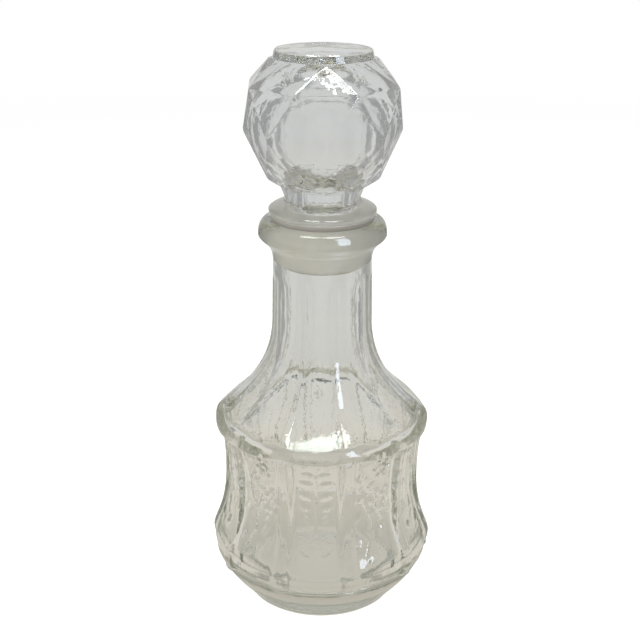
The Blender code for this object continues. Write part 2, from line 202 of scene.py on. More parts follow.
def joinSolids(piece, others, operation):
    for other in others:
        step = piece.modifiers.new(other.name, "BOOLEAN")
        step.operation = operation
        step.solver = "EXACT"
        step.object = other
    settle(piece)
    for other in others:
        bpy.data.objects.remove(other)


def finishPiece(piece, body, node, material, sharpAngle=35):
    piece.data.materials.clear()
    piece.data.materials.append(material)
    piece.data.shade_smooth()
    piece.data.set_sharp_from_angle(angle=radians(sharpAngle))
    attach(piece, body)
    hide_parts(node)
    print(piece.name, "ready:", len(piece.data.polygons), "faces")


# materials

glassFinish = {"roughness": 0.012, "ior": 1.5, "lampShade": (0.88, 0.88, 0.87, 1.0),
               "streakStretch": (1.0, 1.0, 0.3)}
bottleFinish = {"tint": (0.945, 0.947, 0.938, 1.0), "thickColour": (0.72, 0.74, 0.67, 1.0), "density": 21.0,
                "ripples": {"Swell": 60.0, "Streak": 420.0, "Flow": 0.42}, "rippleDepth": 0.00025}
stopperFinish = {"tint": (0.930, 0.934, 0.929, 1.0), "thickColour": (0.71, 0.72, 0.71, 1.0), "density": 7.0,
                 "ripples": {"Swell": 190.0, "Streak": 500.0, "Flow": 0.10}, "rippleDepth": 0.00022}


def makeRippleGroup():
    # uneven fire-polished surface: a slow swell and finer drawn-out streaks
    tree, given, result = openTree("mouldRipple", "ShaderNodeTree", {
        "Vector": "Vector", "Swell": "Float", "Streak": "Float", "Flow": "Float", ">Height": "Float"})
    stretched = addNode(tree, "ShaderNodeMapping", {"Vector": given["Vector"],
                                                    "Scale": glassFinish["streakStretch"]})
    slow = noise(tree, given["Vector"], given["Swell"], detail=2.0)
    fine = noise(tree, stretched.outputs[0], given["Streak"], detail=3.0)
    tree.links.new(calc(tree, "ADD", slow, times(tree, fine, given["Flow"])), result["Height"])
    return tree


rippleGroup = makeRippleGroup()


def pressedGlass(name, finish):
    material, tree = newMaterial(name)
    shader = tree.nodes["Principled BSDF"]
    shader.inputs["Base Color"].default_value = finish["tint"]
    shader.inputs["Roughness"].default_value = glassFinish["roughness"]
    shader.inputs["IOR"].default_value = glassFinish["ior"]
    shader.inputs["Transmission Weight"].default_value = 1.0
    where = addNode(tree, "ShaderNodeTexCoord").outputs["Object"]
    ripple = addNode(tree, "ShaderNodeGroup", {"Vector": where, **finish["ripples"]}, node_tree=rippleGroup)
    bump = addNode(tree, "ShaderNodeBump", {"Height": ripple.outputs[0], "Distance": finish["rippleDepth"],
                                            "Strength": 1.0})
    tree.links.new(bump.outputs[0], shader.inputs["Normal"])
    # lamps shine through, a little dimmed at each face, onto the sleeve and the floor
    clear = addNode(tree, "ShaderNodeBsdfTransparent", {"Color": glassFinish["lampShade"]})
    path = addNode(tree, "ShaderNodeLightPath").outputs
    both = mixShaders(tree, path["Is Shadow Ray"], shader.outputs[0], clear.outputs[0])
    body = addNode(tree, "ShaderNodeVolumeAbsorption", {"Color": finish["thickColour"],
                                                        "Density": finish["density"]})
    ends = tree.nodes["Material Output"].inputs
    tree.links.new(both, ends["Surface"])
    tree.links.new(body.outputs[0], ends["Volume"])
    return material


# the heel's painted shade: a darker tint, and where on the heel it lies
paintedHeelShade = {"colour": (0.745, 0.750, 0.725, 1.0), "reach": (0.0156, 0.0166), "lean": 0.45,
            "outside": (0.0285, 0.0300)}


def paintHeelShade(material):
    # painted shade: the outer skin of the thick heel is tinted darker, for the shadowed floor seen through
    # it, and the hollow's floor above it isn't
    tree = material.node_tree
    colour = tree.nodes["Principled BSDF"].inputs["Base Color"]
    spot = split(tree, addNode(tree, "ShaderNodeTexCoord").outputs["Object"])
    leaned = calc(tree, "SUBTRACT", axisDistance(tree, spot), times(tree, spot["Z"], paintedHeelShade["lean"]))
    outside = ease(tree, leaned, *paintedHeelShade["outside"])
    heelShadeMask = times(tree, outside, ease(tree, spot["Z"], *paintedHeelShade["reach"], 1.0, 0.0))
    tree.links.new(blend(tree, heelShadeMask, colour.default_value, paintedHeelShade["colour"]), colour)


plasticTone = {
    "cloudy": (0.55, 0.53, 0.475, 1.0), "clear": (0.65, 0.625, 0.565, 1.0), "cloudScale": 160.0,
    "residue": (0.50, 0.44, 0.24, 1.0), "residueReach": (0.0004, 0.0018), "patchScale": 90.0,
    # the flange colour is painted shade, on the flange under the disc
    "patchEdge": (0.42, 0.56), "flange": (0.30, 0.285, 0.255, 1.0), "flangeReach": (-0.0006, 0.0),
    "flangeShadeFrom": (0.0112, 0.0132), "roughness": 0.38, "scatter": 0.6, "scatterTint": (1.0, 0.9, 0.75),
    "scatterDepth": 0.0015,
}


def milkyPlastic():
    material, tree = newMaterial("milkyPlastic")
    tone = plasticTone
    shader = tree.nodes["Principled BSDF"].inputs
    where = addNode(tree, "ShaderNodeTexCoord").outputs["Object"]
    spot = split(tree, where)
    milk = blend(tree, noise(tree, where, tone["cloudScale"], detail=3.0), tone["cloudy"], tone["clear"])
    # a yellowish residue in patches on the plug's end
    nearEnd = ease(tree, calc(tree, "SUBTRACT", spot["Z"], sleeveLow.z), *tone["residueReach"], 1.0, 0.0)
    patches = ease(tree, noise(tree, where, tone["patchScale"], detail=2.0), *tone["patchEdge"])
    stained = blend(tree, times(tree, nearEnd, patches), milk, tone["residue"])
    # painted shade: the flange is greyer outside the throat, where it lies under the disc
    onFlange = ease(tree, calc(tree, "SUBTRACT", spot["Z"], bottleHigh.z), *tone["flangeReach"])
    flangeShade = times(tree, onFlange, ease(tree, axisDistance(tree, spot), *tone["flangeShadeFrom"]))
    tree.links.new(blend(tree, flangeShade, stained, tone["flange"]), shader["Base Color"])
    shader["Roughness"].default_value = tone["roughness"]
    shader["Subsurface Weight"].default_value = tone["scatter"]
    shader["Subsurface Radius"].default_value = tone["scatterTint"]
    shader["Subsurface Scale"].default_value = tone["scatterDepth"]
    return material


bottleGlass = pressedGlass("bottleGlass", bottleFinish)
stopperGlass = pressedGlass("stopperGlass", stopperFinish)
sleevePlastic = milkyPlastic()
paintHeelShade(bottleGlass)
print("materials ready")


# bottle: one skin of rings, fluted above the shoulder line and panelled below it
# rings are (radius, height) places, and shares set how far a curve's handles reach

bottleShape = {
    "foot": (0.0295, 0.0), "footRing": 0.0045, "pushUp": 0.0016, "pushUpShares": (0.50, 0.82, 0.20),
    "heelStep": 0.0009, "heelShares": (0.10, 0.70),
    "ridge": (0.0419, 0.0170), "beadRise": 0.0004, "beadThickness": 0.0014, "beadSteps": 8,
    "flare": (0.0428, 0.0226), "flareShares": (0.25, 0.45), "waist": (0.0374, 0.0490),
    "shoulder": (0.0400, 0.0728), "neck": (0.0186, 0.1120), "neckTop": (0.0182, 0.1345),
    "neckRings": (0.25, 0.5, 0.65, 0.72, 0.79, 0.86, 0.93, 1.0),
    "lip": (0.0235, 0.1446), "lipShares": (0.75, 0.22),
    "mouth": (0.0200, bottleHigh.z), "mouthShares": (0.60, 0.70), "columns": 400,
}
swellShares = {"waist": (0.13, 0.65), "shoulder": (0.75, 0.23), "neck": (0.14, 0.66)}
skinSizes = {
    "Flutes": 10, "Front Angle": radians(-3), "Neck Flute": 0.0008, "Shoulder Flute": 0.0020,
    "Flute Top": 0.1325, "Flute Fade": 0.0060, "Flute Run": 0.0090,
    "Scoop Low": 0.0774, "Scoop High": 0.0890, "Arris Land": 0.76, "Arris Round": 0.12,
    "Line Height": 0.0702, "Line Step": 0.0017, "Line Swag": 0.0012, "Ledge": 0.0007, "Ledge Run": 0.0080,
    "Panel Depth": 0.0019, "Crest Depth": 0.00078, "Rib Foot": 0.34, "Rib Edge": 0.45, "Scallop": 0.0006,
}


def skinRings():
    size = bottleShape
    foot, ridge, flare, waist = size["foot"], size["ridge"], size["flare"], size["waist"]
    shoulder, neck, neckTop = size["shoulder"], size["neck"], size["neckTop"]
    lip, mouth = size["lip"], size["mouth"]
    footInside = (foot[0] - size["footRing"], 0.0)
    first, second, third = size["pushUpShares"]
    rings = [(0.0, size["pushUp"])]
    rings += curvePoints(rings[0], (first * footInside[0], size["pushUp"]),
                         (second * footInside[0], third * size["pushUp"]), footInside, 6)
    rings += [foot]
    first, second = size["heelShares"]
    heelTop = (ridge[0] - skinSizes["Crest Depth"] - size["heelStep"], ridge[1] - size["heelStep"])
    rings += curvePoints(foot, (foot[0], first * heelTop[1]), (heelTop[0], second * heelTop[1]), heelTop, 12)
    for step in range(size["beadSteps"] + 1):
        bend = pi * step / size["beadSteps"]
        rings.append((ridge[0] + size["beadRise"] * sin(bend),
                      ridge[1] + size["beadThickness"] * (1 - cos(bend)) / 2))
    beadTop = rings[-1]
    first, second = size["flareShares"]
    rise = flare[1] - ridge[1]
    rings += curvePoints(beadTop, ((ridge[0] + flare[0]) / 2, beadTop[1] + first * rise),
                         (flare[0], flare[1] - second * rise), flare, 10)
    rings += swell(flare, waist, swellShares["waist"], 42)
    rings += swell(waist, shoulder, swellShares["shoulder"], 40)
    rings += swell(shoulder, neck, swellShares["neck"], 36)
    rings += [partWay(neck, neckTop, share) for share in size["neckRings"]]
    rings += swell(neckTop, lip, size["lipShares"], 12)
    first, second = size["mouthShares"]
    rings += curvePoints(lip, (lip[0], lip[1] + first * (mouth[1] - lip[1])),
                         (mouth[0] + second * (lip[0] - mouth[0]), mouth[1]), mouth, 7)
    return rings


hollowShape = {
    "boreRadius": 0.0150, "bevel": 0.0008, "boreEnd": 0.1120, "boreRings": (0.25, 0.5, 0.75, 1.0),
    "belly": (0.0362, 0.0728), "waist": (0.0327, 0.0520), "flare": (0.0380, 0.0240),
    "ridge": (0.0365, 0.0170), "ridgeShares": (0.66, 0.30, 0.36),
    "floor": (0.0210, 0.0085), "floorShares": (0.51, 0.16, 0.59),
}


def hollowRings():
    size = hollowShape
    mouth = (size["boreRadius"] + size["bevel"], bottleShape["mouth"][1])
    boreTop = (size["boreRadius"], mouth[1] - size["bevel"])
    boreEnd = (size["boreRadius"], size["boreEnd"])
    floor, ridge, flare = size["floor"], size["ridge"], size["flare"]
    waist, belly = size["waist"], size["belly"]
    rings = [(0.0, floor[1]), (0.5 * floor[0], floor[1]), floor]
    first, second, third = size["floorShares"]
    out, up = ridge[0] - floor[0], ridge[1] - floor[1]
    rings += curvePoints(floor, (floor[0] + first * out, floor[1]),
                         (ridge[0] - second * out, ridge[1] - third * up), ridge, 8)
    first, second, third = size["ridgeShares"]
    out, up = flare[0] - ridge[0], flare[1] - ridge[1]
    rings += curvePoints(ridge, (ridge[0] + first * out, ridge[1] + second * up),
                         (flare[0], flare[1] - third * up), flare, 4)
    rings += swell(flare, waist, swellShares["waist"], 10)
    rings += swell(waist, belly, swellShares["shoulder"], 8)
    rings += swell(belly, boreEnd, swellShares["neck"], 24)
    rings += [partWay(boreEnd, boreTop, share) for share in size["boreRings"]]
    return rings + [mouth]


def makeSkinTree():
    tree, given, result = openTree("mouldedSkin", "GeometryNodeTree", {
        "Rings": "Object", "Ring Count": "Int", "Columns": "Int", "Flutes": "Int", "Front Angle": "Float",
        "Neck Flute": "Float", "Shoulder Flute": "Float", "Scoop Low": "Float", "Scoop High": "Float",
        "Flute Top": "Float", "Flute Fade": "Float", "Flute Run": "Float", "Arris Land": "Float",
        "Arris Round": "Float", "Line Height": "Float", "Line Step": "Float", "Line Swag": "Float",
        "Ledge": "Float", "Ledge Run": "Float", "Panel Depth": "Float", "Crest Depth": "Float",
        "Flare Height": "Float", "Waist Height": "Float", "Rib Foot": "Float", "Rib Edge": "Float",
        "Ridge Height": "Float", "Scallop": "Float", "Ornament": "Object", "Panel Width": "Float",
        "Material": "Material", ">Geometry": "Geometry"})
    across = calc(tree, "ADD", given["Columns"], 1)
    grid = addNode(tree, "GeometryNodeMeshGrid", {"Vertices X": across, "Vertices Y": given["Ring Count"]})
    index = addNode(tree, "GeometryNodeInputIndex").outputs[0]
    column = calc(tree, "FLOOR", calc(tree, "DIVIDE", calc(tree, "ADD", index, 0.5), given["Ring Count"]))
    row = calc(tree, "SUBTRACT", index, times(tree, column, given["Ring Count"]))
    rings = addNode(tree, "GeometryNodeObjectInfo", {"Object": given["Rings"]})
    place = addNode(tree, "GeometryNodeInputPosition").outputs[0]
    ring = addNode(tree, "GeometryNodeSampleIndex", {"Geometry": rings.outputs["Geometry"], "Value": place,
                                                     "Index": row}, data_type="FLOAT_VECTOR")
    ringPlace = split(tree, ring.outputs[0])
    radius, height = ringPlace["X"], ringPlace["Z"]

    # where a column stands in its flute, from -0.5 to 0.5, and the flute's number
    turned = calc(tree, "DIVIDE", times(tree, column, given["Flutes"]), given["Columns"])
    flute = calc(tree, "FLOOR", calc(tree, "ADD", turned, 0.5))
    share = calc(tree, "SUBTRACT", turned, flute)
    aside = calc(tree, "ABSOLUTE", share)
    bow = calc(tree, "POWER", times(tree, aside, 2.0), 2.0)

    # flutes above the shoulder line, with a small ledge at their foot
    landed = calc(tree, "DIVIDE", bow, given["Arris Land"])
    rounded = calc(tree, "SMOOTH_MIN", landed, 1.0, given["Arris Round"])
    fluteDepth = ease(tree, height, given["Scoop Low"], given["Scoop High"], given["Shoulder Flute"],
                      given["Neck Flute"])
    fadeStart = calc(tree, "SUBTRACT", given["Flute Top"], given["Flute Fade"])
    fluteFade = ease(tree, height, fadeStart, given["Flute Top"], 1.0, 0.0)
    line = calc(tree, "MULTIPLY_ADD", bow, given["Line Swag"], given["Line Height"])
    runOut = ease(tree, height, line, calc(tree, "ADD", line, given["Flute Run"]))
    fluteDepth = times(tree, times(tree, fluteDepth, fluteFade), runOut)
    ledge = ease(tree, height, line, calc(tree, "ADD", line, given["Ledge Run"]), given["Ledge"], 0.0)
    fluted = times(tree, fluteDepth, calc(tree, "SUBTRACT", 1.0, rounded))
    fluted = calc(tree, "SUBTRACT", fluted, ledge)

    # panels and ribs below it
    panelDepth = ease(tree, height, given["Flare Height"], given["Waist Height"], given["Crest Depth"],
                      given["Panel Depth"])
    panelled = times(tree, panelDepth, ease(tree, aside, given["Rib Foot"], given["Rib Edge"], 1.0, 0.0))
    above = ease(tree, height, calc(tree, "SUBTRACT", line, given["Line Step"]), line)
    below = calc(tree, "SUBTRACT", 1.0, above)
    depth = calc(tree, "ADD", times(tree, above, fluted), times(tree, below, panelled))

    # pressed ornament, read from a flat sheet of two panels that alternate round the bottle
    ornament = addNode(tree, "GeometryNodeObjectInfo", {"Object": given["Ornament"]})
    panel = calc(tree, "FLOORED_MODULO", flute, 2.0)
    along = times(tree, calc(tree, "ADD", share, panel), given["Panel Width"])
    eye = addNode(tree, "ShaderNodeCombineXYZ", {"X": along, "Y": height, "Z": 1.0}).outputs[0]
    ray = addNode(tree, "GeometryNodeRaycast", {
        "Target Geometry": ornament.outputs["Geometry"], "Source Position": eye,
        "Ray Direction": (0.0, 0.0, -1.0), "Ray Length": 2.0}).outputs
    relief = times(tree, split(tree, ray["Hit Position"])["Z"], ray["Is Hit"])

    # the heel, below the ridge, stays plain and round
    ridgeFoot = calc(tree, "SUBTRACT", given["Ridge Height"], sameRing)
    dressed = addNode(tree, "FunctionNodeCompare", {0: height, 1: ridgeFoot}, operation="GREATER_THAN",
                      data_type="FLOAT").outputs[0]
    skin = calc(tree, "SUBTRACT", radius, times(tree, calc(tree, "SUBTRACT", depth, relief), dressed))
    scallop = ease(tree, height, given["Ridge Height"], given["Flare Height"], given["Scallop"], 0.0)
    dip = times(tree, scallop, times(tree, bow, dressed))
    fluteAngle = calc(tree, "DIVIDE", 2 * pi, given["Flutes"])
    angle = calc(tree, "MULTIPLY_ADD", turned, fluteAngle, given["Front Angle"])
    spot = addNode(tree, "ShaderNodeCombineXYZ", {
        "X": times(tree, skin, calc(tree, "SINE", angle)),
        "Y": times(tree, times(tree, skin, calc(tree, "COSINE", angle)), -1.0),
        "Z": calc(tree, "SUBTRACT", height, dip)}).outputs[0]
    placed = addNode(tree, "GeometryNodeSetPosition", {"Geometry": grid.outputs["Mesh"], "Position": spot})
    merged = addNode(tree, "GeometryNodeMergeByDistance", {"Geometry": placed.outputs[0],
                                                           "Distance": samePoint})
    real = addNode(tree, "GeometryNodeRealizeInstances", {"Geometry": merged.outputs[0]})
    coated = addNode(tree, "GeometryNodeSetMaterial", {"Geometry": real.outputs[0],
                                                       "Material": given["Material"]})
    tree.links.new(coated.outputs[0], result["Geometry"])
    return tree


# ornament: strokes in flat panel coordinates, raised from the panels
# the panels' width is taken at their mean radius, and the leaves are in millimetres and degrees

ornamentShape = {
    "panelWidth": 2 * pi * 0.0385 / skinSizes["Flutes"], "height": 0.00065,
    "leafGrid": (12, 8), "tipPower": 0.8, "domePower": 4, "fallPower": 0.6,
    "ringOverlap": 2.6, "tendrilOverlap": 1.7, "tendrilRise": 0.8,
    "sprayLeaves": ((46.0, 4.6, 28), (50.5, 5.4, 24), (55.5, 5.6, 18), (60.5, 5.0, 14), (64.5, 3.6, 10)),
    "flowerLeaves": ((-7.0, 34.0, 60), (-2.2, 38.5, 130), (-7.4, 45.0, 50), (-1.6, 57.5, 30),
                     (-7.6, 60.0, 125), (-6.5, 53.0, 20), (3.5, 38.5, 60), (-2.6, 28.5, 25)),
}
strokeScales = {"turn": 1.0, "length": 0.001, "width": 0.001, "rise": 1.0}


def leafMesh():
    # a domed leaf, 1 long, 1 wide and 1 high, pointed at both ends
    size = ornamentShape
    mesh = bmesh.new()
    rows, columns = size["leafGrid"]
    grid = []
    for row in range(rows + 1):
        t = row / rows
        width = sin(pi * t) ** size["tipPower"] if 0 < row < rows else 0.0
        line = []
        for column in range(columns + 1):
            s = 2 * column / columns - 1
            rise = (1 - s ** size["domePower"]) * width ** size["fallPower"] if width else 0.0
            line.append(mesh.verts.new((t - 0.5, 0.5 * s * width, rise)))
        grid.append(line)
    for low, high in zip(grid, grid[1:]):
        for place in range(columns):
            mesh.faces.new((low[place], low[place + 1], high[place + 1], high[place]))
    bmesh.ops.remove_doubles(mesh, verts=mesh.verts, dist=samePoint)
    return plainMesh("leaf", mesh)


def ring(x, z, radius, width, count):
    strokes = []
    length = ornamentShape["ringOverlap"] * 2 * pi * radius / count
    for place in range(count):
        angle = 2 * pi * place / count
        strokes.append((x + radius * cos(angle), z + radius * sin(angle), angle + pi / 2, length, width, 1.0))
    return strokes


def petals(x, z, inner, length, width, count, turn=0.0):
    strokes = []
    reach = inner + length / 2
    for place in range(count):
        angle = turn + 2 * pi * place / count
        strokes.append((x + reach * cos(angle), z + reach * sin(angle), angle, length, width, 1.0))
    return strokes


def tendril(points, width):
    size = ornamentShape
    strokes = []
    for (x0, z0), (x1, z1) in zip(points, points[1:]):
        length = ((x1 - x0) ** 2 + (z1 - z0) ** 2) ** 0.5
        angle = Vector((x1 - x0, z1 - z0)).angle_signed(Vector((1, 0)))
        strokes.append(((x0 + x1) / 2, (z0 + z1) / 2, angle, size["tendrilOverlap"] * length, width,
                        size["tendrilRise"]))
    return strokes


def ornamentStrokes():
    # (x, height, turn, length, width, share of the relief), in millimetres and radians
    spray = []
    for z, reach, turn in ornamentShape["sprayLeaves"]:
        for side in (-1, 1):
            spray.append((side * (1.4 + reach / 2), z, side * radians(turn), 1.2 * reach, 2.2, 0.7))
    spray += tendril([(0.0, 40.0 + 2.6 * step) for step in range(10)], 1.0)
    for side in (-1, 1):
        spray.append((side * 4.0, 33.5, side * radians(38), 5.6, 2.4, 0.8))
    middle = ornamentShape["panelWidth"] * 1000
    x, z = middle + 3.6, 49.5
    flower = ring(x, z, 1.5, 1.0, 8) + ring(x, z, 3.1, 1.0, 14) + petals(x, z, 3.8, 3.4, 2.4, 7, 0.2)
    x, z = middle + 2.8, 64.0
    flower += ring(x, z, 1.6, 1.0, 10) + petals(x, z, 2.2, 2.2, 1.8, 6)
    flower += tendril([(middle - 4.2 + 3.0 * sin(step / 2.4), 30.0 + 2.8 * step) for step in range(13)], 1.1)
    for x, z, turn in ornamentShape["flowerLeaves"]:
        flower.append((middle + x, z, radians(turn), 5.2, 2.2, 1.0))
    return spray + flower


def makeOrnament():
    strokes = ornamentStrokes()
    points = bpy.data.meshes.new("strokes")
    points.from_pydata([(x / 1000, z / 1000, 0.0) for x, z, *rest in strokes], [], [])
    for place, (label, scale) in enumerate(strokeScales.items(), 2):
        attribute = points.attributes.new(label, "FLOAT", "POINT")
        attribute.data.foreach_set("value", [stroke[place] * scale for stroke in strokes])
    leaf = newPiece("leaf", leafMesh())
    spots = newPiece("strokes", points)
    tree, given, result = openTree("pressedOrnament", "GeometryNodeTree", {
        "Strokes": "Object", "Leaf": "Object", "Height": "Float", ">Geometry": "Geometry"})
    source = addNode(tree, "GeometryNodeObjectInfo", {"Object": given["Strokes"]})
    leafInfo = addNode(tree, "GeometryNodeObjectInfo", {"Object": given["Leaf"]})
    read = {label: addNode(tree, "GeometryNodeInputNamedAttribute", {"Name": label}).outputs[0]
            for label in strokeScales}
    turn = addNode(tree, "ShaderNodeCombineXYZ", {"Z": read["turn"]})
    size = addNode(tree, "ShaderNodeCombineXYZ", {"X": read["length"], "Y": read["width"],
                                                  "Z": times(tree, read["rise"], given["Height"])})
    laid = addNode(tree, "GeometryNodeInstanceOnPoints", {
        "Points": source.outputs["Geometry"], "Instance": leafInfo.outputs["Geometry"],
        "Rotation": turn.outputs[0], "Scale": size.outputs[0]})
    real = addNode(tree, "GeometryNodeRealizeInstances", {"Geometry": laid.outputs[0]})
    tree.links.new(real.outputs[0], result["Geometry"])
    sheet = grow(tree, "ornamentSheet", {"Strokes": spots, "Leaf": leaf, "Height": ornamentShape["height"]})
    bpy.data.objects.remove(leaf)
    bpy.data.objects.remove(spots)
    return sheet


def aroundAxis(vert):
    # the order round the axis, which starts between two columns
    return (atan2(vert.co.y, vert.co.x) + 1.0) % (2 * pi)


def makeBottle():
    tree = makeSkinTree()
    ornament = makeOrnament()
    blank = newPiece("blank", bpy.data.meshes.new("blank"))
    outer, inner = skinRings(), hollowRings()
    outerRings = newPiece("outerRings", profileMesh("outerRings", outer))
    innerRings = newPiece("innerRings", profileMesh("innerRings", inner))
    shared = {**skinSizes, "Columns": bottleShape["columns"], "Flare Height": bottleShape["flare"][1],
              "Waist Height": bottleShape["waist"][1], "Ridge Height": bottleShape["ridge"][1],
              "Panel Width": ornamentShape["panelWidth"], "Material": bottleGlass}
    bottle = grow(tree, "glassBottle", {**shared, "Rings": outerRings, "Ring Count": len(outer),
                                        "Ornament": ornament})
    reliefs = ("Neck Flute", "Shoulder Flute", "Panel Depth", "Crest Depth", "Scallop", "Ledge")
    hollow = grow(tree, "bottleHollow", {**shared, **dict.fromkeys(reliefs, 0.0), "Rings": innerRings,
                                         "Ring Count": len(inner), "Ornament": blank})
    # both skins become one wall, joined by the flat mouth
    wall = bmesh.new()
    wall.from_mesh(bottle.data)
    wall.from_mesh(hollow.data)
    rim = {vert for edge in wall.edges if edge.is_boundary for vert in edge.verts}
    between = (bottleShape["mouth"][0] + hollowShape["boreRadius"]) / 2
    outside = sorted((vert for vert in rim if vert.co.xy.length > between), key=aroundAxis)
    inside = sorted((vert for vert in rim if vert.co.xy.length <= between), key=aroundAxis)
    for place in range(len(outside)):
        wall.faces.new((outside[place - 1], outside[place], inside[place], inside[place - 1]))
    bmesh.ops.recalc_face_normals(wall, faces=wall.faces)
    wall.to_mesh(bottle.data)
    wall.free()
    for helper in (ornament, blank, outerRings, innerRings, hollow):
        bpy.data.objects.remove(helper)
    finishPiece(bottle, "bottle", "bottle", bottleGlass)


makeBottle()


# stopper: disc and shank turned in one, with a faceted throat and ball, hollowed from below
# heights are above the seat, where the disc rests on the sleeve

headShape = {
    "shankRadius": 0.0117, "shankLength": 0.0152, "shankChamfer": 0.001,
    "discRadius": 0.0196, "discThickness": 0.0040, "discUnder": 0.0013, "discWidest": 0.4,
    "discShares": (0.15, 0.30), "collarRadius": 0.0142, "collarThickness": 0.0011, "collarFoot": 0.0003,
    "throatRadius": 0.0131, "throatHeight": 0.0068, "facets": 8, "turn": radians(2.5), "softEdge": 0.0005,
    "ballFoot": (0.0158, 0.0098), "lowerRing": (0.0213, 0.0140), "wideRing": (0.0283, 0.0298),
    "upperRing": (0.0278, 0.0461), "crownRing": (0.0188, 0.0551), "capRadius": 0.0171, "capHeight": 0.0578,
    "capFoot": 0.0176, "chamfer": 0.0004, "cavityRadius": 0.0200, "cavityTop": 0.0475, "cavityShare": 0.6,
    "neckShare": 0.3, "boreRadius": 0.0080, "overrun": 0.002, "steps": 96,
}
headShape["seat"] = headLow.z + headShape["shankLength"]


def softSolid(name, *rings):
    # the flat facets that wrap stacked rings of corners, with their edges melted a little
    size = headShape
    mesh = bmesh.new()
    for (radius, height), staggered in rings:
        turn = size["turn"] + (pi / size["facets"] if staggered else 0.0)
        for place in range(size["facets"]):
            angle = turn + 2 * pi * place / size["facets"]
            mesh.verts.new((radius * sin(angle), -radius * cos(angle), height))
    bmesh.ops.convex_hull(mesh, input=mesh.verts)
    bmesh.ops.dissolve_limit(mesh, angle_limit=radians(1), verts=mesh.verts, edges=mesh.edges)
    bmesh.ops.recalc_face_normals(mesh, faces=mesh.faces)
    bmesh.ops.bevel(mesh, geom=mesh.edges[:], offset=size["softEdge"], segments=3, profile=0.5,
                    affect="EDGES", clamp_overlap=True)
    return newPiece(name, plainMesh(name, mesh))


def discAndShank():
    size = headShape
    collar, shank, length = size["collarRadius"], size["shankRadius"], size["shankLength"]
    widest = (size["discRadius"], size["discWidest"] * size["discThickness"])
    foot = (size["discRadius"] - size["discUnder"], 0.0)
    rim = (collar + size["collarFoot"], size["discThickness"])
    collarTop = rim[1] + size["collarThickness"]
    profile = [(0.0, collarTop), (collar - size["chamfer"], collarTop), (collar, collarTop - size["chamfer"]),
               (collar, rim[1]), rim]
    first, second = size["discShares"]
    profile += curvePoints(rim, (rim[0] + first * (widest[0] - rim[0]), rim[1]),
                           (widest[0], widest[1] + second * (rim[1] - widest[1])), widest, 8)
    profile += curvePoints(widest, (size["discRadius"], 0.0), (size["discRadius"], 0.0), foot, 5)
    return profile + [(shank, 0.0), (shank, size["shankChamfer"] - length),
                      (shank - size["shankChamfer"], -length), (0.0, -length)]


def cavityProfile():
    size = headShape
    share = size["cavityShare"]
    top = (0.0, size["cavityTop"])
    side = (size["cavityRadius"], size["wideRing"][1])
    neck = (size["boreRadius"], size["ballFoot"][1])
    end = -size["shankLength"] - size["overrun"]
    profile = [top]
    profile += curvePoints(top, (share * side[0], top[1]), (side[0], side[1] + share * (top[1] - side[1])),
                           side, 14)
    profile += curvePoints(side, (side[0], side[1] - share * (side[1] - neck[1])),
                           (neck[0], neck[1] + size["neckShare"] * (side[1] - neck[1])), neck, 14)
    return profile + [(neck[0], end), (0.0, end)]


def makeHead():
    size = headShape
    head = turnedPiece("glassStopper", discAndShank(), size["steps"])
    ball = softSolid("ball", (size["ballFoot"], False), (size["lowerRing"], True), (size["wideRing"], False),
                     (size["upperRing"], True), (size["crownRing"], False))
    throat, throatTop = size["throatRadius"], size["ballFoot"][0] - size["chamfer"]
    throat = softSolid("throat", ((throat, size["discThickness"]), False),
                       ((throat, size["throatHeight"]), False), ((throatTop, size["ballFoot"][1]), False),
                       ((throatTop, size["lowerRing"][1]), False))
    radius, height, middle = size["capRadius"], size["capHeight"], size["wideRing"][1]
    cap = turnedPiece("cap", [(0.0, height), (radius - size["chamfer"], height),
                              (radius, height - size["chamfer"]), (size["capFoot"], size["crownRing"][1]),
                              (radius, middle), (0.0, middle)], size["steps"])
    joinSolids(head, [throat, ball, cap], "UNION")
    joinSolids(head, [turnedPiece("cavity", cavityProfile(), size["steps"])], "DIFFERENCE")
    head.data.transform(Matrix.Translation((0.0, 0.0, size["seat"])))
    finishPiece(head, "head", "stopper_head", stopperGlass, 25)


makeHead()


# sleeve: a flange under the disc and a ringed plug in the neck
# heights are above the seat, where the flange rests on the mouth

sleeveShape = {
    "flangeRadius": 0.0188, "flangeThickness": 0.0016, "round": 0.0005, "roundShares": (0.6, 0.4),
    "plugRadius": 0.01503, "plugLength": 0.0176, "endRound": 0.0022, "boreFit": 0.01513, "press": 0.00005,
    "cupRadius": 0.0124, "cupFloor": 0.0012, "seals": (0.0032, 0.0066, 0.0100), "sealHalf": 0.0007,
    "sealSteps": (1.0, 0.5, 0.0, -0.5, -1.0), "steps": 128,
}
sleeveShape["seat"] = sleeveHigh.z - sleeveShape["flangeThickness"]


